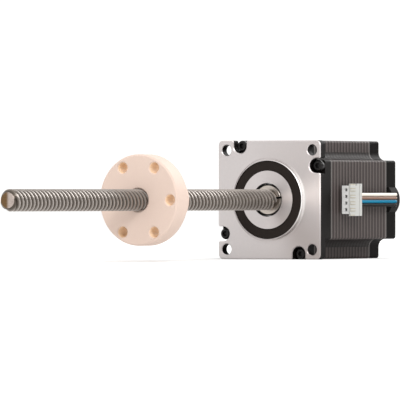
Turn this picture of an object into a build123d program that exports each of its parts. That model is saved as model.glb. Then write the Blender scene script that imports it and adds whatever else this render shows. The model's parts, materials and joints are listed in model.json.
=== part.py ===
from build123d import *
import math
import os

os.makedirs("parts", exist_ok=True)

# All sizes are millimetres. X runs along the screw away from the motor, Z is up, and
# X = 0 is the mounting face. +Y is the side of the motor where the wires come out.

# Motor body
frame_side = 56.4
flange_thickness = 4.5
flange_corner_radius = 2.3
flange_edge_break = 0.45
front_depth = 10.0
stack_length = 53.0
rear_wall = 1.3
corner_notch = 9.3
notch_fillet = 3.8
body_edge_radius = 1.2
bolt_inset = 4.63
bolt_hole_d = 5.2
bolt_hole_chamfer = 0.3
motor_wall = 4.0
front_cavity_depth = 5.2
rear_cavity_depth = 5.7
rear_face_recess_d = 24.0
rear_face_recess_depth = 0.4

# Pilot boss on the mounting face
boss_d = 38.1
boss_height = 1.6
boss_edge_break = 0.35
relief_width = 0.95
relief_depth = 0.3
boss_groove_inset = 0.45
boss_groove_width = 4.75
boss_groove_depth = 0.5
boss_bore_gap = 0.5

# Long screws that hold the brackets together, sunk in open pockets of the flange
tie_notch_inset = 2.7
tie_edge_inset = 2.6
tie_d = 3.0
tie_clearance = 0.2
tie_head_d = 5.2
tie_head_height = 2.7
tie_head_rounding = 0.9
tie_socket_d = 2.9
tie_socket_depth = 1.4
tie_end_gap = 1.2
pocket_width = 7.0
pocket_mouth_radius = 0.9

# Bearings
seat_gap = 0.01
ball_gap = 0.04
front_bearing_bore = 15.0
front_bearing_outer = 28.0
front_bearing_width = 7.0
front_bearing_ball = 3.6
front_bearing_balls = 11
rear_bearing_bore = 8.0
rear_bearing_outer = 22.0
rear_bearing_width = 7.0
rear_bearing_ball = 3.97
rear_bearing_balls = 7
bearing_hub_wall = 1.6
cage_width_ratio = 1.3
race_land_ratio = 0.22
front_wall = 2.8
rear_bearing_inset = 0.6
preload_washer_thickness = 0.5
washer_wave = 0.15
washer_outer_gap = 0.4
washer_ring_width = 1.8

# Stator
pole_count = 8
air_gap = 0.1
neck_width = 7.0
slot_opening = 2.0
tooth_count = 50
tooth_slots_per_pole = 4
stator_slot_width = 0.85
stator_slot_depth = 0.6

# Bobbins and windings
bobbin_plate = 1.0
bobbin_wall = 1.2
bobbin_inner_wall = 0.6
bobbin_height = 2.9
bobbin_hub_gap = 0.3
bobbin_wall_gap = 0.6
bobbin_seat = 0.8
coil_gap = 0.2
coil_build = 2.6
coil_outer_gap = 1.6

# Rotor
rotor_d = 28.0
magnet_thickness = 1.6
magnet_inset = 1.5
cup_pair_gap = 0.8
rotor_slot_width = 0.9
rotor_slot_depth = 0.7
rotor_seat_d = 14.0
shaft_collar_height = 1.25
shaft_front_inset = 0.6
shaft_front_chamfer = 0.7
shaft_slot_width = 1.1
shaft_slot_depth = 7.0
shaft_slot_angle = 10.0
shaft_rear_gap = 0.6
rotor_start_gap = 1.5
spigot_end_gap = 1.0
rear_shoulder_height = 1.5

# Lead screw: four starts side by side, so one turn moves the nut four crest pitches
screw_d = 10.0
screw_root_d = 7.9
thread_starts = 4
crest_pitch = 3.0
lead = thread_starts * crest_pitch
thread_piece_length = lead / 2
crest_share = 0.24
flank_share = 0.19
screw_tip_x = 225.6
tip_end_d = 6.9
tip_chamfer_length = 1.9
spigot_d = 8.0
spigot_length = 42.0

# Travelling nut
nut_face_x = 117.0
nut_flange_width = 8.5
nut_flange_thickness = 10.0
nut_hub_d = 25.0
nut_length = 25.0
nut_edge_break = 0.7
nut_hole_rim = 1.5
nut_hole_d = 5.0
nut_hole_count = 6
nut_hole_chamfer = 0.5
nut_mouth_gap = 0.8
thread_clearance = 0.2

# Cable grommet on the rear bracket
grommet_front_gap = 2.3
grommet_rear_inset = 0.25
grommet_height = 12.0
grommet_bulge = 2.3
grommet_lip = 0.2
grommet_slot_clearance = 0.1
grommet_slot_rear = 1.5
grommet_slot_run_in = 2.0
grommet_inner_gap = 0.4
grommet_hole_inset = 0.5
grommet_hole_length = 3.4
grommet_hole_gap = 0.3
grommet_hole_side_gap = 0.24

# Terminal board inside the rear bracket
board_thickness = 0.8
board_floor_gap = 0.15
board_inner_r = 15.0
board_wall_gap = 0.6
board_span = 60.0

# Wires
wire_d = 1.6
wire_gap = 0.04
wire_start_back = 1.3
wire_start_drop = 3.7
wire_exit_inset = 0.6
wire_fan_inset = 0.3
wire_end_run = 1.2
wire_inner_bend_r = 8.0
wire_exit_bend_r = 1.6
wire_fan_bend_r = 3.2
wire_names = ["white", "brown", "blue", "black"]

# Plug on the wires
plug_front_x = -18.1
plug_length = 11.3
plug_thickness = 4.5
plug_wall = 0.9
plug_side_gap = 1.35
plate_lip = 0.95
plate_thickness = 0.9
plate_setback = 0.3
plate_notch_width = 1.6
plate_notch_depth = 0.9
plate_notch_from_front = 5.6
plug_groove_width = 0.5
plug_groove_depth = 0.3
plug_groove_from_rear = 2.4
contact_pitch = 3.15
contact_hole_width = 1.3
contact_hole_height = 1.45
rib_length = 4.4
rib_height = 0.35
rib_width = 1.3
rear_hollow_length = 4.6
hollow_end_gap = 0.275
hollow_side_gap = 0.3
contact_wall = 0.15
contact_setback = 1.6
contact_gap = 0.1

# How far a cutting shape runs past the material, and how near two positions count as the same
cut_margin = 1.0
same_place = 0.01

# Positions that follow from the sizes
half_side = frame_side / 2
bolt_spacing = frame_side - 2 * bolt_inset
wall_cavity_r = half_side - motor_wall
relief_d = boss_d + 2 * relief_width
boss_groove_outer_d = boss_d - 2 * boss_groove_inset
boss_groove_inner_d = boss_groove_outer_d - 2 * boss_groove_width
boss_bore_d = front_bearing_bore + 2 * boss_bore_gap
rear_depth = rear_bearing_inset + rear_bearing_width + preload_washer_thickness + rear_wall
stack_front_x = -front_depth
stack_rear_x = stack_front_x - stack_length
motor_rear_x = stack_rear_x - rear_depth
bore_r = rotor_d / 2 + air_gap
front_hub_r = front_bearing_outer / 2 + bearing_hub_wall
shoe_outer_r = front_hub_r + bobbin_hub_gap + bobbin_inner_wall
bobbin_outer_r = wall_cavity_r - bobbin_wall_gap
winding_outer_r = bobbin_outer_r - bobbin_seat
coil_inner_r = shoe_outer_r + bobbin_inner_wall + coil_gap
coil_outer_r = winding_outer_r - coil_outer_gap
board_outer_r = wall_cavity_r - board_wall_gap
cup_length = (stack_length - 2 * rotor_start_gap - 2 * magnet_thickness - cup_pair_gap) / 4
magnet_d = rotor_d - 2 * magnet_inset
tooth_angle = 360 / tooth_count
pole_angle = 360 / pole_count
front_bearing_face_x = boss_height - front_wall
front_bearing_back_x = front_bearing_face_x - front_bearing_width
rear_bearing_face_x = stack_rear_x - rear_bearing_inset
rear_bearing_back_x = rear_bearing_face_x - rear_bearing_width
shaft_front_x = boss_height - shaft_front_inset
shaft_collar_d = front_bearing_bore + 2 * shaft_collar_height
rear_shoulder_d = rear_bearing_bore + 2 * rear_shoulder_height
nut_flange_d = nut_hub_d + 2 * nut_flange_width
nut_hole_pcd = nut_flange_d - 2 * nut_hole_rim - nut_hole_d
nut_mouth_d = screw_d + 2 * nut_mouth_gap
nut_rear_x = nut_face_x - nut_length
nut_flange_rear_x = nut_face_x - nut_flange_thickness
tie_along = half_side - tie_edge_inset
tie_across = half_side - corner_notch - tie_notch_inset
wire_pitch = wire_d + wire_gap
wires_middle = (len(wire_names) - 1) / 2
grommet_front_x = stack_rear_x - grommet_front_gap
grommet_rear_x = motor_rear_x + grommet_rear_inset
grommet_slot_end_x = motor_rear_x + grommet_slot_rear
grommet_plug_height = grommet_height - 2 * grommet_lip
grommet_inner_y = wall_cavity_r + grommet_inner_gap
grommet_hole_front_x = grommet_front_x - grommet_hole_inset
grommet_hole_height = 2 * wires_middle * wire_pitch + wire_d + 2 * grommet_hole_side_gap
wire_exit_x = grommet_hole_front_x - grommet_hole_gap - wire_d / 2
wire_exit_y = half_side - wire_exit_inset
wire_start_x = wire_exit_x - wire_start_back
wire_start_y = wire_exit_y - wire_start_drop
plug_rear_x = plug_front_x - plug_length
plug_back_y = half_side + plug_side_gap
plug_mid_y = plug_back_y + plug_thickness / 2
plug_face_y = plug_back_y + plug_thickness
wire_run_y = plug_mid_y
rear_hollow_width = wire_d + 2 * hollow_side_gap
rear_hollow_height = 2 * wires_middle * contact_pitch + wire_d + 2 * hollow_end_gap
plug_height = rear_hollow_height + 2 * plug_wall
plate_height = plug_height + 2 * plate_lip
plate_notch_x = plug_front_x - plate_notch_from_front


def station(x):
    """Sketch plane across the screw: sketch x is the part's Y and sketch y is its Z."""
    return Plane.YZ.offset(x)


def body_outline():
    """Square with its four corners notched, as the brackets and the stack share it."""
    with BuildSketch() as outline:
        Rectangle(frame_side, frame_side)
        with GridLocations(frame_side, frame_side, 2, 2):
            Rectangle(2 * corner_notch, 2 * corner_notch, mode=Mode.SUBTRACT)
        inner = half_side - corner_notch / 2
        concave = [v for v in outline.vertices() if abs(v.X) < inner and abs(v.Y) < inner]
        fillet(concave, notch_fillet)
        convex = [v for v in outline.vertices() if at_outer_corner(v)]
        fillet(convex, body_edge_radius)
    return outline.sketch


def at_outer_corner(vertex):
    """True where a notch wall meets an outer side of the body."""
    across = sorted([abs(vertex.X), abs(vertex.Y)])
    wall = half_side - corner_notch
    return abs(across[1] - half_side) < same_place and abs(across[0] - wall) < same_place


def tie_circles(diameter):
    """Four circles at the long screws, one a quarter turn on from the next."""
    with BuildSketch() as circles:
        for x, y in tie_points():
            with Locations((x, y)):
                Circle(diameter / 2)
    return circles.sketch


def tie_points():
    return [
        (-tie_across, tie_along),
        (tie_along, tie_across),
        (tie_across, -tie_along),
        (-tie_along, -tie_across),
    ]


def pocket_shapes():
    """Round-bottomed pockets that open to the nearest side of the flange."""
    with BuildSketch() as pockets:
        for x, y in tie_points():
            reach = 2 * tie_edge_inset
            sideways = abs(x) > abs(y)
            width = reach if sideways else pocket_width
            height = pocket_width if sideways else reach
            outward = (math.copysign(reach / 2, x), 0) if sideways else (0, math.copysign(reach / 2, y))
            with Locations((x, y)):
                Circle(pocket_width / 2)
            with Locations((x + outward[0], y + outward[1])):
                Rectangle(width, height)
    return pockets.sketch


def at_pocket_mouth(vertex):
    """True where a pocket wall meets the flange's side."""
    across = sorted([abs(vertex.X), abs(vertex.Y)])
    on_side = abs(across[1] - half_side) < same_place
    return on_side and abs(abs(across[0] - tie_across) - pocket_width / 2) < same_place


# Front bracket: flange, pilot boss and bearing seat in one casting
with BuildPart() as front_bracket:
    with BuildSketch(station(-flange_thickness)) as flange:
        RectangleRounded(frame_side, frame_side, flange_corner_radius)
        add(pocket_shapes(), mode=Mode.SUBTRACT)
        fillet([v for v in flange.vertices() if at_pocket_mouth(v)], pocket_mouth_radius)
        with GridLocations(bolt_spacing, bolt_spacing, 2, 2):
            Circle(bolt_hole_d / 2, mode=Mode.SUBTRACT)
    extrude(amount=flange_thickness)
    chamfer(front_bracket.faces().sort_by(Axis.X)[-1].outer_wire().edges(), flange_edge_break)
    hole_rims = front_bracket.faces().sort_by(Axis.X)[-1].inner_wires()
    chamfer([rim.edges()[0] for rim in hole_rims], bolt_hole_chamfer)
    with BuildSketch(station(stack_front_x)):
        add(body_outline())
    extrude(amount=front_depth - flange_thickness)
    with BuildSketch(station(0)):
        Circle(relief_d / 2)
    extrude(amount=-relief_depth, mode=Mode.SUBTRACT)
    with BuildSketch(station(-relief_depth)):
        Circle(boss_d / 2)
    extrude(amount=boss_height + relief_depth)
    chamfer(front_bracket.faces().sort_by(Axis.X)[-1].edges(), boss_edge_break)
    with BuildSketch(station(boss_height)):
        Circle(boss_groove_outer_d / 2)
        Circle(boss_groove_inner_d / 2, mode=Mode.SUBTRACT)
    extrude(amount=-boss_groove_depth, mode=Mode.SUBTRACT)
    with BuildSketch(station(stack_front_x)):
        Circle(wall_cavity_r)
        Circle(front_hub_r, mode=Mode.SUBTRACT)
    extrude(amount=front_cavity_depth, mode=Mode.SUBTRACT)
    with BuildSketch(station(stack_front_x)):
        Circle(front_hub_r)
    extrude(amount=front_bearing_back_x - stack_front_x - seat_gap, mode=Mode.SUBTRACT)
    with BuildSketch(station(front_bearing_face_x)):
        Circle(front_bearing_outer / 2 + seat_gap)
    extrude(amount=-front_depth, mode=Mode.SUBTRACT)
    with BuildSketch(station(boss_height)):
        Circle(boss_bore_d / 2)
    extrude(amount=-front_depth, mode=Mode.SUBTRACT)
    with BuildSketch(station(stack_front_x)):
        add(tie_circles(tie_d + 2 * tie_clearance))
    extrude(amount=front_depth, mode=Mode.SUBTRACT)
front_bracket.part.label = "front_bracket"
export_step(front_bracket.part, "parts/front_bracket.step")


# Rear bracket: closed cap with the rear bearing seat and the cable slot
with BuildPart() as rear_bracket:
    with BuildSketch(station(motor_rear_x)):
        add(body_outline())
    extrude(amount=rear_depth)
    chamfer(rear_bracket.faces().sort_by(Axis.X)[0].outer_wire().edges(), body_edge_radius / 2)
    with BuildSketch(station(stack_rear_x)):
        Circle(wall_cavity_r)
        Circle(rear_bearing_outer / 2 + bearing_hub_wall, mode=Mode.SUBTRACT)
    extrude(amount=-rear_cavity_depth, mode=Mode.SUBTRACT)
    with BuildSketch(station(stack_rear_x)):
        Circle(rear_bearing_outer / 2 + seat_gap)
    extrude(
        amount=rear_bearing_back_x - preload_washer_thickness - stack_rear_x,
        mode=Mode.SUBTRACT,
    )
    with BuildSketch(station(motor_rear_x)):
        Circle(rear_face_recess_d / 2)
    extrude(amount=rear_face_recess_depth, mode=Mode.SUBTRACT)
    slot_length = stack_rear_x - grommet_slot_end_x
    slot_depth = half_side - wall_cavity_r + grommet_slot_run_in
    slot_mid_y = half_side - slot_depth / 2
    with Locations((stack_rear_x - slot_length / 2, slot_mid_y, 0)):
        Box(slot_length, slot_depth, grommet_plug_height + 2 * grommet_slot_clearance, mode=Mode.SUBTRACT)
    with BuildSketch(station(motor_rear_x)):
        add(tie_circles(tie_d + 2 * tie_clearance))
    extrude(amount=rear_depth, mode=Mode.SUBTRACT)
rear_bracket.part.label = "rear_bracket"
export_step(rear_bracket.part, "parts/rear_bracket.step")


# Long screws: four the same
with BuildPart() as through_screws:
    with BuildSketch(station(-flange_thickness)):
        add(tie_circles(tie_head_d))
    extrude(amount=tie_head_height)
    head_tops = through_screws.faces().sort_by(Axis.X)[-4:]
    fillet([top.edges()[0] for top in head_tops], tie_head_rounding)
    with BuildSketch(station(tie_head_height - flange_thickness)):
        for x, y in tie_points():
            with Locations((x, y)):
                RegularPolygon(tie_socket_d / 2, 6)
    extrude(amount=-tie_socket_depth, mode=Mode.SUBTRACT)
    with BuildSketch(station(-flange_thickness)):
        add(tie_circles(tie_d))
    extrude(amount=motor_rear_x + tie_end_gap + flange_thickness)
through_screws.part.label = "through_screws"
export_step(through_screws.part, "parts/through_screws.step")


def winding_space():
    """The eight slots of the stator, where the coils lie, and their narrow mouths."""
    with BuildSketch() as space:
        Circle(winding_outer_r)
        Circle(shoe_outer_r, mode=Mode.SUBTRACT)
        with PolarLocations(0, pole_count):
            Rectangle(
                winding_outer_r + cut_margin,
                neck_width,
                align=(Align.MIN, Align.CENTER),
                mode=Mode.SUBTRACT,
            )
        with PolarLocations(bore_r, pole_count, start_angle=pole_angle / 2):
            Rectangle(2 * (shoe_outer_r - bore_r) + cut_margin, slot_opening)
    return space.sketch


# Laminated stack with eight poles, toothed towards the rotor
with BuildPart() as stator_stack:
    with BuildSketch(station(stack_rear_x)):
        add(body_outline())
        Circle(bore_r, mode=Mode.SUBTRACT)
        add(winding_space(), mode=Mode.SUBTRACT)
        add(tie_circles(tie_d + 2 * tie_clearance), mode=Mode.SUBTRACT)
        for number in range(tooth_slots_per_pole):
            offset = (number - (tooth_slots_per_pole - 1) / 2) * tooth_angle
            with PolarLocations(bore_r, pole_count, start_angle=offset):
                Rectangle(2 * stator_slot_depth, stator_slot_width, mode=Mode.SUBTRACT)
    extrude(amount=stack_length)
stator_stack.part.label = "stator_stack"
export_step(stator_stack.part, "parts/stator_stack.step")


def make_bobbin(name, x_face, direction):
    """Insulating end frame between the stack and the turned ends of the coils."""
    with BuildPart() as bobbin:
        with BuildSketch(station(x_face)):
            Circle(bobbin_outer_r)
            Circle(shoe_outer_r - bobbin_inner_wall, mode=Mode.SUBTRACT)
            add(winding_space(), mode=Mode.SUBTRACT)
        extrude(amount=direction * bobbin_plate)
        with BuildSketch(station(x_face)):
            Circle(bobbin_outer_r)
            Circle(bobbin_outer_r - bobbin_wall, mode=Mode.SUBTRACT)
            Circle(shoe_outer_r + bobbin_inner_wall)
            Circle(shoe_outer_r - bobbin_inner_wall, mode=Mode.SUBTRACT)
            with PolarLocations(shoe_outer_r, pole_count, start_angle=pole_angle / 2):
                Rectangle(2 * bobbin_wall, slot_opening, mode=Mode.SUBTRACT)
        extrude(amount=direction * bobbin_height)
    bobbin.part.label = name
    export_step(bobbin.part, f"parts/{name}.step")


make_bobbin("bobbin_front", stack_front_x, 1)
make_bobbin("bobbin_rear", stack_rear_x, -1)


def make_windings(name, first_pole):
    """Four coils of one phase, each wound round the neck of every second pole."""
    inside_width = neck_width + 2 * coil_gap
    inside_length = stack_length + 2 * bobbin_plate + 2 * coil_gap
    depth = coil_outer_r - coil_inner_r
    middle_r = (coil_outer_r + coil_inner_r) / 2
    first_angle = first_pole * pole_angle
    with BuildPart(station((stack_front_x + stack_rear_x) / 2)) as coils:
        with PolarLocations(middle_r, pole_count // 2, start_angle=first_angle):
            Box(depth, inside_width + 2 * coil_build, inside_length + 2 * coil_build)
        corners = [e for e in coils.edges() if abs(e.length - depth) < same_place]
        fillet(corners, coil_build - coil_gap)
        with PolarLocations(middle_r, pole_count // 2, start_angle=first_angle):
            Box(depth + cut_margin, inside_width, inside_length, mode=Mode.SUBTRACT)
    coils.part.label = name
    export_step(coils.part, f"parts/{name}.step")


make_windings("windings_phase_a", 0)
make_windings("windings_phase_b", 1)


def make_bearing(name, x_face, bore, outer, width, ball, balls):
    """Ball bearing with its face at x_face and its body behind: two rings, cage and balls."""
    pitch_r = (bore + outer) / 4
    land = race_land_ratio * ball
    x_mid = x_face - width / 2
    ring_sizes = {
        "outer_ring": (pitch_r + land, outer / 2),
        "inner_ring": (bore / 2, pitch_r - land),
    }
    for ring_name, (inner_r, outer_r) in ring_sizes.items():
        with BuildPart() as ring:
            with BuildSketch(station(x_face)):
                Circle(outer_r)
                Circle(inner_r, mode=Mode.SUBTRACT)
            extrude(amount=-width)
            with Locations((x_mid, 0, 0)):
                Torus(pitch_r, ball / 2 + ball_gap, rotation=(0, 90, 0), mode=Mode.SUBTRACT)
        ring.part.label = f"{name}_{ring_name}"
        export_step(ring.part, f"parts/{name}_{ring_name}.step")
    with BuildPart(station(x_mid)) as ball_set:
        with PolarLocations(pitch_r, balls):
            Sphere(ball / 2)
    ball_set.part.label = f"{name}_balls"
    export_step(ball_set.part, f"parts/{name}_balls.step")
    with BuildPart(station(x_mid)) as cage:
        Cylinder(pitch_r + land / 2, cage_width_ratio * ball)
        Cylinder(pitch_r - land / 2, cage_width_ratio * ball, mode=Mode.SUBTRACT)
        with PolarLocations(pitch_r, balls):
            Cylinder(ball / 2 + ball_gap, ball, rotation=(0, 90, 0), mode=Mode.SUBTRACT)
    cage.part.label = f"{name}_cage"
    export_step(cage.part, f"parts/{name}_cage.step")


make_bearing(
    "front_bearing",
    front_bearing_face_x,
    front_bearing_bore,
    front_bearing_outer,
    front_bearing_width,
    front_bearing_ball,
    front_bearing_balls,
)
make_bearing(
    "rear_bearing",
    rear_bearing_face_x,
    rear_bearing_bore,
    rear_bearing_outer,
    rear_bearing_width,
    rear_bearing_ball,
    rear_bearing_balls,
)


# Sprung washer that preloads the rear bearing
with BuildPart() as preload_washer:
    with BuildSketch(station(rear_bearing_back_x - washer_wave / 2)):
        Circle(rear_bearing_outer / 2 - washer_outer_gap)
        Circle(rear_bearing_outer / 2 - washer_outer_gap - washer_ring_width, mode=Mode.SUBTRACT)
    extrude(amount=washer_wave - preload_washer_thickness)
preload_washer.part.label = "preload_washer"
export_step(preload_washer.part, "parts/preload_washer.step")


# Hollow rotor shaft with a slotted front end that grips the screw's plain end
with BuildPart() as rotor_shaft:
    rotor_start_x = stack_front_x - rotor_start_gap
    rotor_length = 4 * cup_length + 2 * magnet_thickness + cup_pair_gap
    rotor_end_x = rotor_start_x - rotor_length
    shaft_steps = [
        (shaft_front_x, front_bearing_back_x, front_bearing_bore / 2 - seat_gap),
        (front_bearing_back_x, rotor_start_x, shaft_collar_d / 2),
        (rotor_start_x, rotor_end_x, rotor_seat_d / 2 - seat_gap),
        (rotor_end_x, rear_bearing_face_x, rear_shoulder_d / 2),
        (rear_bearing_face_x, rear_bearing_back_x + shaft_rear_gap, rear_bearing_bore / 2 - seat_gap),
    ]
    for x_from, x_to, radius in shaft_steps:
        with BuildSketch(station(x_from)):
            Circle(radius)
        extrude(amount=x_to - x_from)
    front_rim = rotor_shaft.faces().sort_by(Axis.X)[-1].outer_wire().edges()
    chamfer(front_rim, shaft_front_chamfer)
    with BuildSketch(station(shaft_front_x)):
        Circle(spigot_d / 2 + seat_gap)
    extrude(amount=-spigot_length - spigot_end_gap, mode=Mode.SUBTRACT)
    with BuildSketch(station(shaft_front_x)):
        Rectangle(2 * front_bearing_bore, shaft_slot_width, rotation=shaft_slot_angle)
    extrude(amount=-shaft_slot_depth, mode=Mode.SUBTRACT)
rotor_shaft.part.label = "rotor_shaft"
export_step(rotor_shaft.part, "parts/rotor_shaft.step")


# Toothed rotor cups in two pairs, each pair with a ring magnet between its cups
cup_starts = []
magnet_starts = []
x_next = rotor_start_x
for pair in range(2):
    cup_starts.append(x_next)
    magnet_starts.append(x_next - cup_length)
    cup_starts.append(x_next - cup_length - magnet_thickness)
    x_next = x_next - 2 * cup_length - magnet_thickness - cup_pair_gap

for number, x_start in enumerate(cup_starts, start=1):
    turn = tooth_angle / 2 if number % 2 == 0 else 0
    with BuildPart() as rotor_cup:
        with BuildSketch(station(x_start)):
            Circle(rotor_d / 2)
            Circle(rotor_seat_d / 2, mode=Mode.SUBTRACT)
            with PolarLocations(rotor_d / 2, tooth_count, start_angle=turn):
                Rectangle(2 * rotor_slot_depth, rotor_slot_width, mode=Mode.SUBTRACT)
        extrude(amount=-cup_length)
    rotor_cup.part.label = f"rotor_cup_{number}"
    export_step(rotor_cup.part, f"parts/rotor_cup_{number}.step")

for number, x_start in enumerate(magnet_starts, start=1):
    with BuildPart() as rotor_magnet:
        with BuildSketch(station(x_start)):
            Circle(magnet_d / 2)
            Circle(rotor_seat_d / 2, mode=Mode.SUBTRACT)
        extrude(amount=-magnet_thickness)
    rotor_magnet.part.label = f"rotor_magnet_{number}"
    export_step(rotor_magnet.part, f"parts/rotor_magnet_{number}.step")


def thread_section(growth, x):
    """Cross-section of the thread at one station, grown all round by a clearance."""
    crest_r = screw_d / 2 + growth
    root_r = screw_root_d / 2 + growth
    share = 360 / thread_starts
    widening = 360 * growth / lead
    crest_angle = crest_share * share + 2 * widening
    flank_angle = flank_share * share
    root_angle = share - crest_angle - 2 * flank_angle
    phase = 360 * (x - shaft_front_x) / lead - crest_angle / 2
    with BuildSketch(station(x)) as section:
        with BuildLine():
            for start in range(thread_starts):
                angle = phase + start * share
                crest = CenterArc((0, 0), crest_r, angle, crest_angle)
                root = CenterArc((0, 0), root_r, angle + crest_angle + flank_angle, root_angle)
                next_angle = math.radians(angle + share)
                next_crest = (crest_r * math.cos(next_angle), crest_r * math.sin(next_angle))
                Line(crest @ 1, root @ 0)
                Line(root @ 1, next_crest)
        make_face()
    return section.sketch.faces()[0]


def thread_body(growth, x_start, x_end):
    """Right-handed thread between two stations, made of short twisted pieces joined as one solid."""
    count = math.ceil((x_end - x_start) / thread_piece_length)
    length = (x_end - x_start) / count
    skin = []
    for number in range(count):
        x = x_start + number * length
        piece = Solid.extrude_linear_with_rotation(
            thread_section(growth, x),
            center=(x, 0, 0),
            normal=(length, 0, 0),
            angle=360 * length / lead,
        )
        ends = piece.faces().sort_by(Axis.X)
        skin.extend(ends[1:-1])
        if number == 0:
            skin.append(ends[0])
        if number == count - 1:
            skin.append(ends[-1])
    return Solid(Shell(skin))


# Lead screw
with BuildPart() as lead_screw:
    add(thread_body(0, shaft_front_x, screw_tip_x))
    with BuildSketch(Plane.XY):
        outside_r = screw_d / 2 + cut_margin
        slope = tip_chamfer_length / (screw_d / 2 - tip_end_d / 2)
        with BuildLine():
            Polyline(
                (screw_tip_x, tip_end_d / 2),
                (screw_tip_x, outside_r),
                (screw_tip_x - slope * (outside_r - tip_end_d / 2), outside_r),
                close=True,
            )
        make_face()
    revolve(axis=Axis.X, mode=Mode.SUBTRACT)
    with BuildSketch(station(shaft_front_x)):
        Circle(spigot_d / 2 - seat_gap)
    extrude(amount=-spigot_length)
lead_screw.part.label = "lead_screw"
export_step(lead_screw.part, "parts/lead_screw.step")


# Travelling nut: round flange towards the screw's tip, hub towards the motor
with BuildPart() as lead_nut:
    with BuildSketch(station(nut_face_x)):
        Circle(nut_flange_d / 2)
        with PolarLocations(nut_hole_pcd / 2, nut_hole_count):
            Circle(nut_hole_d / 2, mode=Mode.SUBTRACT)
    extrude(amount=-nut_flange_thickness)
    for flat in [lead_nut.faces().sort_by(Axis.X)[-1], lead_nut.faces().sort_by(Axis.X)[0]]:
        chamfer(flat.outer_wire().edges(), nut_edge_break)
    hole_rims = lead_nut.faces().sort_by(Axis.X)[-1].inner_wires()
    chamfer([rim.edges()[0] for rim in hole_rims], nut_hole_chamfer)
    with BuildSketch(station(nut_flange_rear_x)):
        Circle(nut_hub_d / 2)
    extrude(amount=nut_rear_x - nut_flange_rear_x)
    chamfer(lead_nut.faces().sort_by(Axis.X)[0].edges(), nut_edge_break)
    cutter = thread_body(thread_clearance, nut_rear_x - cut_margin, nut_face_x + cut_margin)
    add(cutter, mode=Mode.SUBTRACT)
    mouth_depth = (nut_mouth_d - screw_root_d) / 2
    with BuildSketch(Plane.XY):
        for x_mouth, inward in [(nut_face_x, -1), (nut_rear_x, 1)]:
            with BuildLine():
                Polyline(
                    (x_mouth, 0),
                    (x_mouth, nut_mouth_d / 2),
                    (x_mouth + inward * mouth_depth, screw_root_d / 2),
                    (x_mouth + inward * mouth_depth, 0),
                    close=True,
                )
            make_face()
    revolve(axis=Axis.X, mode=Mode.SUBTRACT)
lead_nut.part.label = "lead_nut"
export_step(lead_nut.part, "parts/lead_nut.step")


# Rubber grommet: a block in the bracket's slot with a bulging cap outside
with BuildPart() as cable_grommet:
    with BuildSketch(station(grommet_front_x)):
        with BuildLine():
            ThreePointArc(
                (half_side, -grommet_height / 2),
                (half_side + grommet_bulge, 0),
                (half_side, grommet_height / 2),
            )
            Line((half_side, grommet_height / 2), (half_side, -grommet_height / 2))
        make_face()
    extrude(amount=grommet_rear_x - grommet_front_x)
    block_length = grommet_front_x - grommet_slot_end_x - grommet_slot_clearance
    with Locations((grommet_front_x - block_length / 2, (half_side + grommet_inner_y) / 2, 0)):
        Box(block_length, half_side - grommet_inner_y, grommet_plug_height)
    hole_x = grommet_hole_front_x - grommet_hole_length / 2
    hole_depth = half_side + grommet_bulge - grommet_inner_y + 2 * cut_margin
    with Locations((hole_x, grommet_inner_y - cut_margin + hole_depth / 2, 0)):
        Box(grommet_hole_length, hole_depth, grommet_hole_height, mode=Mode.SUBTRACT)
cable_grommet.part.label = "cable_grommet"
export_step(cable_grommet.part, "parts/cable_grommet.step")


# Terminal board behind the coils, where the wires start
with BuildPart() as terminal_board:
    board_x = stack_rear_x - rear_cavity_depth + board_floor_gap
    with BuildSketch(station(board_x)):
        Circle(board_outer_r)
        Circle(board_inner_r, mode=Mode.SUBTRACT)
        with BuildLine():
            edge = 2 * board_outer_r
            half_span = math.radians(board_span / 2)
            Polyline(
                (0, 0),
                (edge * math.cos(half_span), edge * math.sin(half_span)),
                (edge * math.cos(half_span), -edge * math.sin(half_span)),
                close=True,
            )
        make_face(mode=Mode.INTERSECT)
    extrude(amount=board_thickness)
terminal_board.part.label = "terminal_board"
export_step(terminal_board.part, "parts/terminal_board.step")


# Four wires: out through the grommet, then forwards along the motor's side to the plug
fan_start_x = plug_rear_x + wire_fan_inset
contact_rear_x = plug_rear_x + rear_hollow_length
wire_bend_radii = [wire_inner_bend_r, wire_exit_bend_r, wire_fan_bend_r, wire_fan_bend_r]
print("wire bend radii in mm, from the motor to the plug:", wire_bend_radii)
for number, colour in enumerate(wire_names):
    place = wires_middle - number
    run_z = place * wire_pitch
    contact_z = place * contact_pitch
    with BuildPart() as wire:
        with BuildLine() as route:
            FilletPolyline(
                (wire_start_x, wire_start_y, run_z),
                (wire_exit_x, wire_exit_y, run_z),
                (wire_exit_x, wire_run_y, run_z),
                (fan_start_x, wire_run_y, run_z),
                (contact_rear_x - wire_end_run, wire_run_y, contact_z),
                (contact_rear_x, wire_run_y, contact_z),
                radius=wire_bend_radii,
            )
        with BuildSketch(Plane(origin=route.line @ 0, z_dir=route.line % 0)):
            Circle(wire_d / 2)
        sweep(path=route.line)
    wire.part.label = f"wire_{colour}"
    export_step(wire.part, f"parts/wire_{colour}.step")


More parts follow.
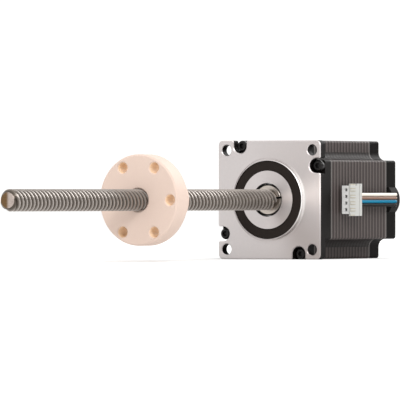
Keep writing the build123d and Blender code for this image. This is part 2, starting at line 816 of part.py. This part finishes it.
# Plug housing: block with a wider cover plate on its outer side
with BuildPart() as plug_housing:
    plug_mid_x = plug_front_x - plug_length / 2
    with Locations((plug_mid_x, plug_mid_y, 0)):
        Box(plug_length, plug_thickness, plug_height)
    plate_length = plug_length - plate_setback
    plate_mid_y = plug_face_y - plate_thickness / 2
    with Locations((plug_rear_x + plate_length / 2, plate_mid_y, 0)):
        Box(plate_length, plate_thickness, plate_height)
    with Locations((plate_notch_x, plate_mid_y, plate_height / 2)):
        Box(plate_notch_width, plate_thickness, 2 * plate_notch_depth, mode=Mode.SUBTRACT)
    with Locations((plug_rear_x + plug_groove_from_rear, plug_face_y, 0)):
        Box(plug_groove_width, 2 * plug_groove_depth, plate_height, mode=Mode.SUBTRACT)
    with Locations((plug_rear_x + rear_hollow_length / 2, plug_mid_y, 0)):
        Box(rear_hollow_length, rear_hollow_width, rear_hollow_height, mode=Mode.SUBTRACT)
    for number in range(len(wire_names)):
        contact_z = (number - wires_middle) * contact_pitch
        with Locations((plug_mid_x, plug_mid_y, contact_z)):
            Box(plug_length, contact_hole_width, contact_hole_height, mode=Mode.SUBTRACT)
        rib_mid_x = plug_front_x - plate_setback - rib_length / 2
        with Locations((rib_mid_x, plug_face_y + rib_height / 2, contact_z)):
            Box(rib_length, rib_height, rib_width)
plug_housing.part.label = "plug_housing"
export_step(plug_housing.part, "parts/plug_housing.step")


# Contacts: four square sleeves inside the plug
with BuildPart() as plug_contacts:
    contact_front_x = plug_front_x - contact_setback
    sleeve_length = contact_front_x - contact_rear_x
    sleeve_mid_x = (contact_front_x + contact_rear_x) / 2
    sleeve_width = contact_hole_width - 2 * contact_gap
    sleeve_height = contact_hole_height - 2 * contact_gap
    for number in range(len(wire_names)):
        with Locations((sleeve_mid_x, plug_mid_y, (number - wires_middle) * contact_pitch)):
            Box(sleeve_length, sleeve_width, sleeve_height)
            Box(
                sleeve_length,
                sleeve_width - 2 * contact_wall,
                sleeve_height - 2 * contact_wall,
                mode=Mode.SUBTRACT,
            )
plug_contacts.part.label = "plug_contacts"
export_step(plug_contacts.part, "parts/plug_contacts.step")
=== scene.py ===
import json
import math

import bpy
from mathutils import Matrix, Vector


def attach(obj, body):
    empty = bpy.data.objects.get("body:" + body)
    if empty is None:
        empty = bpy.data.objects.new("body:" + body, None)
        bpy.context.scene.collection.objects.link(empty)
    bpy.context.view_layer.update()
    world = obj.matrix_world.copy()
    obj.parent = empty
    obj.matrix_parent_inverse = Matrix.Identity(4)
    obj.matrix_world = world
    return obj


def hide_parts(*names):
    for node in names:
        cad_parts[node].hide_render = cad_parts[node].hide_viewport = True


MM = 0.001

# Camera, fitted to the photo's flange, bolt holes, screw edges and thread crests: angles in
# degrees, distances in metres
CAMERA_AZIMUTH = 121.49
CAMERA_ELEVATION = 0.065
CAMERA_DISTANCE = 2.7671
CAMERA_CLIP_END = 50.0
LENS_PX = 5828.2
PICTURE_PX = 400
SENSOR_MM = 36.0
ORIGIN_PX = (269.0, 199.8)

# Brightness of the room round the object, of its ceiling, of the wall that the flange mirrors,
# and of the paper behind the object. Each of them brightens from its edge to its full level
# between two cosines of the angle from its middle.
ROOM_LEVEL = 0.42
CEILING_LEVEL = 1.38
SIDE_WALL_LEVEL = 1.05
BACKDROP_LEVEL = 1.12
WALL_EDGE_COSINE = 0.2
WALL_FULL_COSINE = 0.8
ROOM_COLOUR = (1.0, 0.995, 0.985, 1.0)
FLOOR_SIZE = 40.0

# Soft lamps that shine at one point on the screw: name, place and size, in metres
LAMPS = (
    ("rear_lamp", (-1.25, 0.25, 0.6), (1.0, 0.6)),
    ("key_lamp", (0.9, 0.9, 0.85), (0.5, 0.5)),
)
LAMP_TARGET = (0.08, 0.0, 0.0)
LAMP_WATTS = 9.0

# Sizes shared with the part, in metres, or in millimetres where the name says so
FLOOR_Z = -28.2 * MM
WIRE_DIAMETER = 1.6 * MM
WIRE_PITCH_MM = 1.64
WIRE_COLOURS = ("white", "brown", "blue", "black")
CONTACT_PITCH_MM = 3.15
NUT_HOLES = 6
NUT_HOLE_CIRCLE_R_MM = 17.0
STACK_X_MM = (-63.0, -10.0)

# Limits of the painted areas, in millimetres in each piece's own frame
FLANGE_CHAMFER_X_MM = -0.46
# Inside BORE_R_MM the bore wall is left black as painted shade
BORE_R_MM = 8.02
GROOVE_X_MM = 0.9
GROOVE_INNER_R_MM = 13.85
GROOVE_OUTER_R_MM = 18.6
GROOVE_MARGIN_MM = 0.02
# From BOSS_EDGE_R_MM to RELIEF_R_MM: band of the painted highlight on the boss's rim
BOSS_EDGE_R_MM = 18.7
RELIEF_R_MM = 20.1
STACK_EDGE_MM = 0.9
# From NOTCH_WALL_MM to NOTCH_FILLET_END_MM: band of the painted shade in the notches' fillets
NOTCH_WALL_MM = 18.85
NOTCH_FILLET_END_MM = 22.7
NUT_HOLE_R_MM = 2.56
# From SCREW_ROOT_R_MM to SCREW_CREST_R_MM the painted shade in the thread roots fades out
SCREW_ROOT_R_MM = 3.95
SCREW_CREST_R_MM = 5.0
SCREW_END_X_MM = 225.5
# Width over which the sawn end goes from its darker, browner side to its lighter side
SAWN_SIDE_BLEND_MM = 1.4
PLATE_FACE_Y_MM = 34.03
PLATE_REAR_Y_MM = 33.16
RIB_REAR_X_MM = -22.8
RIB_HALF_WIDTH_MM = 0.65
RIB_SHADE_INWARD_MM = 0.25
RIB_SHADE_OUTWARD_MM = 0.15
# GROMMET_HOLE limits: where the grommet's hole is painted black as painted shade
GROMMET_HOLE_X_MM = (-69.25, -65.75)
GROMMET_HOLE_HALF_HEIGHT_MM = 3.55

# Grain of the surfaces, in noise cells per metre
FINE_GRAIN = 2500.0
NUT_GRAIN = 1500.0
TURNED_GRAIN = 900.0
SAW_GRAIN = 500.0
SAW_STRETCH = (1.0, 1.0, 5.0)
GRAIN_DETAIL = 3.0

# Painted reflections on the turned flange: a painted highlight ray, a darker painted reflection
# ray and a painted highlight on the boss's rim. Each gives its angle about the screw in radians,
# from the wires' side towards the top, and sharpness
PAINTED_HIGHLIGHT_RAY = (0.12, 22.0)
PAINTED_DARK_REFLECTION_RAY = (-0.8, 12.0)
PAINTED_RIM_HIGHLIGHT_RAY = (0.1, 3.0)

# Other values of the painted looks
CAST_ROUGHNESS = 0.5
TURNED_ROUGHNESS = 0.42
TURNED_ANISOTROPY = 0.5
RING_RADIANS_PER_MM = 30.0
STRIPE_PITCH_MM = 2.845
SHEET_PITCH_MM = 0.5
SHEET_SHARE = 0.12
SHEET_RELIEF = 0.2 * MM
SHEET_RELIEF_STRENGTH = 0.3
# How sharply the painted shade in the thread roots fades towards the crests
ROOT_SHADE_SHARPNESS = 2.0
# Offset of the sawn end's change from its darker, browner side to its lighter side
SAWN_SIDE_OFFSET = 0.4

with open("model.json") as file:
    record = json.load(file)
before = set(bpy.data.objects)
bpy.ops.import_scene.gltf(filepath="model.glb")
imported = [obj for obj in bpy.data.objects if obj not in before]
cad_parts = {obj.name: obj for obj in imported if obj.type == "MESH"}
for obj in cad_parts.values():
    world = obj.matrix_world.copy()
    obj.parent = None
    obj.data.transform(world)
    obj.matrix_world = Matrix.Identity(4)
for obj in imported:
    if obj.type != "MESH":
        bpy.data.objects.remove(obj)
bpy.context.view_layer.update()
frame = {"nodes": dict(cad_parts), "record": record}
nodes = frame["nodes"]


class Look:
    """A node material with short helpers for the sums that its colour needs."""

    def __init__(self, name, colour, metallic=0.0, roughness=0.5, specular=0.5):
        self.material = bpy.data.materials.new(name)
        self.material.use_nodes = True
        self.tree = self.material.node_tree
        self.shader = self.tree.nodes["Principled BSDF"]
        self.shader.inputs["Base Color"].default_value = (*colour, 1.0)
        self.shader.inputs["Metallic"].default_value = metallic
        self.shader.inputs["Roughness"].default_value = roughness
        self.shader.inputs["Specular IOR Level"].default_value = specular

    def node(self, kind, **settings):
        made = self.tree.nodes.new(kind)
        for key, value in settings.items():
            setattr(made, key, value)
        return made

    def put(self, socket, value):
        """Link the value to the socket if it is another node's output, else set it."""
        if isinstance(value, bpy.types.NodeSocket):
            self.tree.links.new(value, socket)
        else:
            socket.default_value = value

    def paint(self, colour):
        self.put(self.shader.inputs["Base Color"], colour)

    def maths(self, operation, first, second=0.0):
        made = self.node("ShaderNodeMath", operation=operation)
        self.put(made.inputs[0], first)
        self.put(made.inputs[1], second)
        return made.outputs[0]

    def place(self):
        """X, Y, Z in the piece's own frame and distance from the screw's axis, in millimetres."""
        source = self.node("ShaderNodeTexCoord").outputs["Object"]
        split = self.node("ShaderNodeSeparateXYZ")
        self.put(split.inputs[0], source)
        x, y, z = (self.maths("MULTIPLY", axis, 1 / MM) for axis in split.outputs)
        return x, y, z, self.maths("SQRT", self.square_sum(y, z))

    def square_sum(self, first, second):
        squares = (self.maths("MULTIPLY", value, value) for value in (first, second))
        return self.maths("ADD", *squares)

    def between(self, value, low, high):
        """1 where the value lies between the two limits, else 0."""
        above = self.maths("GREATER_THAN", value, low)
        below = self.maths("LESS_THAN", value, high)
        return self.maths("MULTIPLY", above, below)

    def clamp(self, value):
        """The value, but no less than 0 and no more than 1."""
        return self.maths("MINIMUM", self.maths("MAXIMUM", value, 0.0), 1.0)

    def painted_ray(self, angle, centre, sharpness):
        """Mask of one painted reflection ray on a turned face: 1 at the centre angle, falling to
        0 on both sides.
        """
        towards = self.maths("COSINE", self.maths("SUBTRACT", angle, centre))
        return self.maths("POWER", self.maths("MAXIMUM", towards, 0.0), sharpness)

    def blend(self, factor, first, second):
        """Colour that goes from the first to the second."""
        made = self.node("ShaderNodeMix", data_type="RGBA")
        self.put(made.inputs["Factor"], factor)
        for socket, value in ((made.inputs[6], first), (made.inputs[7], second)):
            self.put(socket, value if isinstance(value, bpy.types.NodeSocket) else (*value, 1.0))
        return made.outputs[2]

    def grade(self, factor, first, second):
        """Number that goes from the first to the second."""
        made = self.node("ShaderNodeMix", data_type="FLOAT")
        self.put(made.inputs["Factor"], factor)
        self.put(made.inputs[2], first)
        self.put(made.inputs[3], second)
        return made.outputs[0]

    def noise(self, per_metre, stretch=(1.0, 1.0, 1.0)):
        mapping = self.node("ShaderNodeMapping")
        self.put(mapping.inputs["Vector"], self.node("ShaderNodeTexCoord").outputs["Object"])
        mapping.inputs["Scale"].default_value = stretch
        made = self.node("ShaderNodeTexNoise")
        self.put(made.inputs["Vector"], mapping.outputs[0])
        made.inputs["Scale"].default_value = per_metre
        made.inputs["Detail"].default_value = GRAIN_DETAIL
        return made.outputs[0]

    def roughen(self, height, strength, distance):
        made = self.node("ShaderNodeBump")
        made.inputs["Strength"].default_value = strength
        made.inputs["Distance"].default_value = distance
        self.put(made.inputs["Height"], height)
        self.put(self.shader.inputs["Normal"], made.outputs[0])


def plain_look(name, colour, metallic=0.0, roughness=0.5, specular=0.5, variation=0.05):
    """One colour, made a little darker and lighter by a fine grain."""
    look = Look(name, colour, metallic, roughness, specular)
    dark = tuple(channel * (1 - variation) for channel in colour)
    light = tuple(min(1.0, channel * (1 + variation)) for channel in colour)
    look.paint(look.blend(look.noise(FINE_GRAIN), dark, light))
    return look


def machined_casting():
    """Black casting, its flange face and boss turned bright, with a dark groove in the boss.
    The turned face carries painted highlight and dark reflection rays and a painted highlight on
    the boss's rim; the bore wall keeps the casting's black as painted shade.
    """
    look = Look("machined_casting", (0.56, 0.52, 0.52), specular=0.05)
    look.shader.inputs["Anisotropic"].default_value = TURNED_ANISOTROPY
    x, y, z, radius = look.place()
    bright = look.maths("GREATER_THAN", x, FLANGE_CHAMFER_X_MM)
    # The bore wall is left black as painted shade
    bright = look.maths("MULTIPLY", bright, look.maths("GREATER_THAN", radius, BORE_R_MM))
    groove_low = GROOVE_INNER_R_MM - GROOVE_MARGIN_MM
    groove_high = GROOVE_OUTER_R_MM + GROOVE_MARGIN_MM
    groove = look.maths(
        "MULTIPLY",
        look.maths("GREATER_THAN", x, GROOVE_X_MM),
        look.between(radius, groove_low, groove_high),
    )
    angle = look.maths("ARCTAN2", z, y)
    # Turned metal with painted reflections: a painted highlight ray, a darker painted reflection
    # ray and a painted highlight on the boss's rim
    metal_and_reflections = look.blend(look.noise(TURNED_GRAIN), (0.55, 0.513, 0.508), (0.59, 0.553, 0.548))
    metal_and_reflections = look.blend(look.painted_ray(angle, *PAINTED_HIGHLIGHT_RAY), metal_and_reflections, (0.93, 0.86, 0.84))
    metal_and_reflections = look.blend(look.painted_ray(angle, *PAINTED_DARK_REFLECTION_RAY), metal_and_reflections, (0.44, 0.4, 0.39))
    rim_highlight = look.between(radius, BOSS_EDGE_R_MM, RELIEF_R_MM)
    rim_highlight = look.maths("MULTIPLY", rim_highlight, look.painted_ray(angle, *PAINTED_RIM_HIGHLIGHT_RAY))
    metal_and_reflections = look.blend(rim_highlight, metal_and_reflections, (0.86, 0.84, 0.83))
    colour = look.blend(bright, (0.0065, 0.0052, 0.0048), metal_and_reflections)
    rings = look.maths("SINE", look.maths("MULTIPLY", radius, RING_RADIANS_PER_MM))
    dark = look.blend(rings, (0.017, 0.013, 0.011), (0.027, 0.021, 0.019))
    look.paint(look.blend(groove, colour, dark))
    metallic = look.maths("MULTIPLY", bright, look.maths("SUBTRACT", 1.0, groove))
    look.put(look.shader.inputs["Metallic"], metallic)
    roughness = look.grade(metallic, CAST_ROUGHNESS, TURNED_ROUGHNESS)
    look.put(look.shader.inputs["Roughness"], roughness)
    tangent = look.node("ShaderNodeTangent", direction_type="RADIAL", axis="X")
    look.put(look.shader.inputs["Tangent"], tangent.outputs[0])
    return look


def laminations():
    """Dark sheets in soft stripes, with painted shade in the notches' fillets, and lighter at
    both ends.
    """
    look = Look("laminations", (0.1, 0.09, 0.09), roughness=0.5, specular=0.1)
    x, y, z, _ = look.place()
    wave = look.maths("SINE", look.maths("MULTIPLY", x, 2 * math.pi / STRIPE_PITCH_MM))
    stripes = look.maths("ADD", look.maths("MULTIPLY", wave, 0.5), 0.5)
    sheets = look.maths("SINE", look.maths("MULTIPLY", x, 2 * math.pi / SHEET_PITCH_MM))
    fine = look.maths("ADD", look.maths("MULTIPLY", sheets, SHEET_SHARE), stripes)
    striped = look.blend(fine, (0.025, 0.019, 0.0175), (0.099, 0.081, 0.077))
    # Painted shade in the concave fillets of the notches
    near_corner = (
        look.between(look.maths("ABSOLUTE", side), NOTCH_WALL_MM, NOTCH_FILLET_END_MM)
        for side in (y, z)
    )
    fillet_shade = look.maths("MULTIPLY", *near_corner)
    striped = look.blend(fillet_shade, striped, (0.02, 0.016, 0.015))
    rear, front = STACK_X_MM
    inside = look.between(x, rear + STACK_EDGE_MM, front - STACK_EDGE_MM)
    look.paint(look.blend(inside, (0.13, 0.12, 0.115), striped))
    look.roughen(fine, SHEET_RELIEF_STRENGTH, SHEET_RELIEF)
    return look


def nut_plastic():
    """Peach plastic, with the walls of the flange's holes painted lighter and more orange as
    painted light.
    """
    look = Look("nut_plastic", (0.8, 0.64, 0.54), roughness=0.55, specular=0.25)
    _, y, z, radius = look.place()
    angle = look.maths("ARCTAN2", z, y)
    step = 2 * math.pi / NUT_HOLES
    nearest = look.maths("ROUND", look.maths("DIVIDE", angle, step))
    turn = look.maths("SUBTRACT", angle, look.maths("MULTIPLY", nearest, step))
    along = look.maths("MULTIPLY", radius, look.maths("COSINE", turn))
    across = look.maths("MULTIPLY", radius, look.maths("SINE", turn))
    away = look.maths("SUBTRACT", along, NUT_HOLE_CIRCLE_R_MM)
    # Painted light: the walls of the flange's holes are painted lighter and more orange
    hole_painted_lighting = look.maths("LESS_THAN", look.square_sum(away, across), NUT_HOLE_R_MM**2)
    body = look.blend(look.noise(NUT_GRAIN), (0.645, 0.505, 0.43), (0.675, 0.53, 0.455))
    look.paint(look.blend(hole_painted_lighting, body, (0.88, 0.68, 0.49)))
    return look


def screw_steel():
    """Rolled steel, bright at the crests and painted dark down into the thread roots as painted
    shade, and a sawn end, browner and darker on one side.
    """
    look = Look("screw_steel", (0.42, 0.385, 0.36), metallic=1.0, roughness=0.36)
    x, y, _, radius = look.place()
    thread_depth = SCREW_CREST_R_MM - SCREW_ROOT_R_MM
    # Painted shade: the colour darkens from the crests down into the thread roots
    rise = look.maths("DIVIDE", look.maths("SUBTRACT", radius, SCREW_ROOT_R_MM), thread_depth)
    away_from_root_shade = look.maths("POWER", look.clamp(rise), ROOT_SHADE_SHARPNESS)
    root_shaded_thread = look.blend(away_from_root_shade, (0.085, 0.07, 0.058), (0.37, 0.335, 0.31))
    # The sawn end: browner and darker towards -Y, lighter towards +Y
    end = look.maths("GREATER_THAN", x, SCREW_END_X_MM)
    marks = look.noise(SAW_GRAIN, stretch=SAW_STRETCH)
    darker_side = look.blend(marks, (0.21, 0.13, 0.07), (0.11, 0.065, 0.028))
    lighter_side = look.blend(marks, (0.6, 0.52, 0.48), (0.32, 0.26, 0.23))
    side = look.maths("ADD", look.maths("DIVIDE", y, SAWN_SIDE_BLEND_MM), SAWN_SIDE_OFFSET)
    sawn = look.blend(look.clamp(side), darker_side, lighter_side)
    look.paint(look.blend(end, root_shaded_thread, sawn))
    return look


def plug_plastic():
    """Off-white plastic, greyer on the rear plate, with brownish painted shade along both edges
    of each rib.
    """
    look = Look("plug_plastic", (0.57, 0.58, 0.54), roughness=0.4, specular=0.3)
    x, y, z, _ = look.place()
    past_step = look.maths("SUBTRACT", z, look.maths("SNAP", z, CONTACT_PITCH_MM))
    from_rib = look.maths("ABSOLUTE", look.maths("SUBTRACT", past_step, CONTACT_PITCH_MM / 2))
    edge_low = RIB_HALF_WIDTH_MM - RIB_SHADE_INWARD_MM
    edge_high = RIB_HALF_WIDTH_MM + RIB_SHADE_OUTWARD_MM
    edge = look.between(from_rib, edge_low, edge_high)
    outside = look.maths("GREATER_THAN", y, PLATE_FACE_Y_MM)
    ribbed = look.maths("MULTIPLY", outside, look.maths("GREATER_THAN", x, RIB_REAR_X_MM))
    body = look.blend(look.noise(FINE_GRAIN), (0.66, 0.66, 0.65), (0.7, 0.7, 0.69))
    plate = look.maths("GREATER_THAN", y, PLATE_REAR_Y_MM)
    plain = look.blend(plate, body, (0.475, 0.475, 0.455))
    # Painted shade along both edges of each rib
    shaded = look.maths("MULTIPLY", edge, ribbed)
    look.paint(look.blend(shaded, plain, (0.38, 0.34, 0.255)))
    return look


def grommet_rubber():
    """Dark grey rubber, painted black inside the hole for the wires as painted shade."""
    look = Look("grommet_rubber", (0.014, 0.013, 0.012), roughness=0.6, specular=0.05)
    x, _, z, _ = look.place()
    along = look.between(x, *GROMMET_HOLE_X_MM)
    low = look.maths("LESS_THAN", look.maths("ABSOLUTE", z), GROMMET_HOLE_HALF_HEIGHT_MM)
    # Painted shade: the inside of the hole for the wires is painted black
    hole_painted_lighting = look.maths("MULTIPLY", along, low)
    rubber = look.blend(look.noise(FINE_GRAIN), (0.015, 0.014, 0.0135), (0.02, 0.0187, 0.018))
    look.paint(look.blend(hole_painted_lighting, rubber, (0.004, 0.004, 0.004)))
    return look


# One look for each material slot of the part: the plain ones, then the painted ones
plain_looks = {
    "black_casting": {"colour": (0.0036, 0.0029, 0.0026), "roughness": 0.45, "specular": 0.03},
    "insulator": {"colour": (0.72, 0.7, 0.62)},
    "copper": {"colour": (0.6, 0.24, 0.1), "metallic": 0.9, "roughness": 0.35},
    "bearing_steel": {"colour": (0.6, 0.6, 0.6), "metallic": 1.0, "roughness": 0.25},
    "ball_steel": {"colour": (0.75, 0.75, 0.76), "metallic": 1.0, "roughness": 0.1},
    "cage_plastic": {"colour": (0.4, 0.32, 0.18)},
    "black_screw": {
        "colour": (0.009, 0.008, 0.008),
        "metallic": 0.3,
        "roughness": 0.28,
        "specular": 0.3,
    },
    "board": {"colour": (0.02, 0.12, 0.05), "roughness": 0.4},
    "wire_white": {"colour": (0.71, 0.665, 0.59), "roughness": 0.35},
    "wire_brown": {"colour": (0.19, 0.095, 0.055), "roughness": 0.4, "specular": 0.25},
    "wire_blue": {"colour": (0.0004, 0.17, 0.3), "roughness": 0.4, "specular": 0.05},
    "wire_black": {"colour": (0.0015, 0.0015, 0.0016), "roughness": 0.4, "specular": 0.05},
    "contact_metal": {"colour": (0.1, 0.08, 0.05), "metallic": 0.8, "roughness": 0.4},
    "shaft_steel": {"colour": (0.5, 0.45, 0.405), "metallic": 1.0, "roughness": 0.3},
    "rotor_steel": {"colour": (0.35, 0.35, 0.36), "metallic": 1.0, "roughness": 0.35},
    "magnet": {"colour": (0.15, 0.15, 0.16), "metallic": 0.6, "roughness": 0.45},
}
looks = {name: plain_look(name, **settings) for name, settings in plain_looks.items()}
looks["machined_casting"] = machined_casting()
looks["laminations"] = laminations()
looks["nut_plastic"] = nut_plastic()
looks["screw_steel"] = screw_steel()
looks["plug_plastic"] = plug_plastic()
looks["grommet_rubber"] = grommet_rubber()

for part in frame["record"]["subparts"]:
    mesh = nodes[part["node"]].data
    mesh.materials.clear()
    mesh.materials.append(looks[part["material_slot"]].material)


def make_wire(colour, place):
    """One wire from the grommet to the plug, along the same listed points as its CAD
    tube.
    """
    run_z = place * WIRE_PITCH_MM
    contact_z = place * CONTACT_PITCH_MM
    points = [
        (-68.2, 23.9, run_z),
        (-66.9, 27.6, run_z),
        (-66.9, 31.8, run_z),
        (-62.7, 31.8, run_z),
        (-32.7, 31.8, run_z),
        (-29.1, 31.8, run_z),
        (-26.0, 31.8, contact_z),
        (-24.8, 31.8, contact_z),
    ]
    curve = bpy.data.curves.new(f"wire_{colour}_line", "CURVE")
    curve.dimensions = "3D"
    curve.bevel_depth = WIRE_DIAMETER / 2
    curve.bevel_resolution = 6
    curve.resolution_u = 16
    curve.use_fill_caps = True
    spline = curve.splines.new("NURBS")
    spline.points.add(len(points) - 1)
    for target, point in zip(spline.points, points):
        target.co = (*(value * MM for value in point), 1.0)
    spline.order_u = 3
    spline.use_endpoint_u = True
    wire = bpy.data.objects.new(f"wire_{colour}_cord", curve)
    bpy.context.scene.collection.objects.link(wire)
    wire.data.materials.append(looks[f"wire_{colour}"].material)
    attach(wire, "motor")
    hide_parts(f"wire_{colour}")


middle = (len(WIRE_COLOURS) - 1) / 2
for number, colour in enumerate(WIRE_COLOURS):
    make_wire(colour, middle - number)

# Camera
azimuth = math.radians(CAMERA_AZIMUTH)
elevation = math.radians(CAMERA_ELEVATION)
back = Vector(
    (
        math.sin(azimuth) * math.cos(elevation),
        -math.cos(azimuth) * math.cos(elevation),
        math.sin(elevation),
    )
)
right = Vector((math.cos(azimuth), math.sin(azimuth), 0.0))
up = back.cross(right)
per_px = CAMERA_DISTANCE / LENS_PX
aside = (ORIGIN_PX[0] - PICTURE_PX / 2) * per_px
lift = (PICTURE_PX / 2 - ORIGIN_PX[1]) * per_px
eye = back * CAMERA_DISTANCE - right * aside - up * lift
camera_data = bpy.data.cameras.new("camera")
camera_data.sensor_width = SENSOR_MM
camera_data.lens = LENS_PX / PICTURE_PX * SENSOR_MM
camera_data.clip_end = CAMERA_CLIP_END
camera = bpy.data.objects.new("camera", camera_data)
bpy.context.scene.collection.objects.link(camera)
camera.matrix_world = Matrix.Translation(eye) @ Matrix((right, up, back)).transposed().to_4x4()
bpy.context.scene.camera = camera

# Pale floor
bpy.ops.mesh.primitive_plane_add(size=FLOOR_SIZE, location=(0.0, 0.0, FLOOR_Z))
floor = bpy.context.object
floor.name = "floor"
floor_look = plain_look(
    "floor_paper", (0.85, 0.85, 0.85), roughness=0.9, specular=0.1, variation=0.01
)
floor.data.materials.append(floor_look.material)

# Studio light: a pale room with a brighter ceiling, and two soft lamps
world = bpy.data.worlds.new("room")
bpy.context.scene.world = world
world.use_nodes = True
room = world.node_tree
direction = room.nodes.new("ShaderNodeTexCoord").outputs["Generated"]


def wall_brightness(towards, level):
    """Brightness that rises from ROOM_LEVEL to the given level towards one direction."""
    cosine = room.nodes.new("ShaderNodeVectorMath")
    cosine.operation = "DOT_PRODUCT"
    cosine.inputs[1].default_value = towards
    room.links.new(direction, cosine.inputs[0])
    ramp = room.nodes.new("ShaderNodeMapRange")
    ramp.interpolation_type = "SMOOTHSTEP"
    ramp.inputs["From Min"].default_value = WALL_EDGE_COSINE
    ramp.inputs["From Max"].default_value = WALL_FULL_COSINE
    ramp.inputs["To Min"].default_value = ROOM_LEVEL
    ramp.inputs["To Max"].default_value = level
    room.links.new(cosine.outputs["Value"], ramp.inputs["Value"])
    return ramp.outputs["Result"]


def brighter_of(first, second):
    made = room.nodes.new("ShaderNodeMath")
    made.operation = "MAXIMUM"
    room.links.new(first, made.inputs[0])
    room.links.new(second, made.inputs[1])
    return made.outputs["Value"]


backdrop = wall_brightness(-back, BACKDROP_LEVEL)
side_wall = wall_brightness((back.x, -back.y, 0.0), SIDE_WALL_LEVEL)
ceiling = wall_brightness((0.0, 0.0, 1.0), CEILING_LEVEL)
brightness = brighter_of(brighter_of(backdrop, side_wall), ceiling)
background = room.nodes["Background"]
background.inputs["Color"].default_value = ROOM_COLOUR
room.links.new(brightness, background.inputs["Strength"])

for name, place, size in LAMPS:
    light = bpy.data.lights.new(name, "AREA")
    light.shape = "RECTANGLE"
    light.size, light.size_y = size
    light.energy = LAMP_WATTS
    lamp = bpy.data.objects.new(name, light)
    bpy.context.scene.collection.objects.link(lamp)
    lamp.location = place
    towards = Vector(LAMP_TARGET) - Vector(place)
    lamp.rotation_euler = towards.to_track_quat("-Z", "Y").to_euler()
bpy.context.scene.view_settings.view_transform = "Standard"
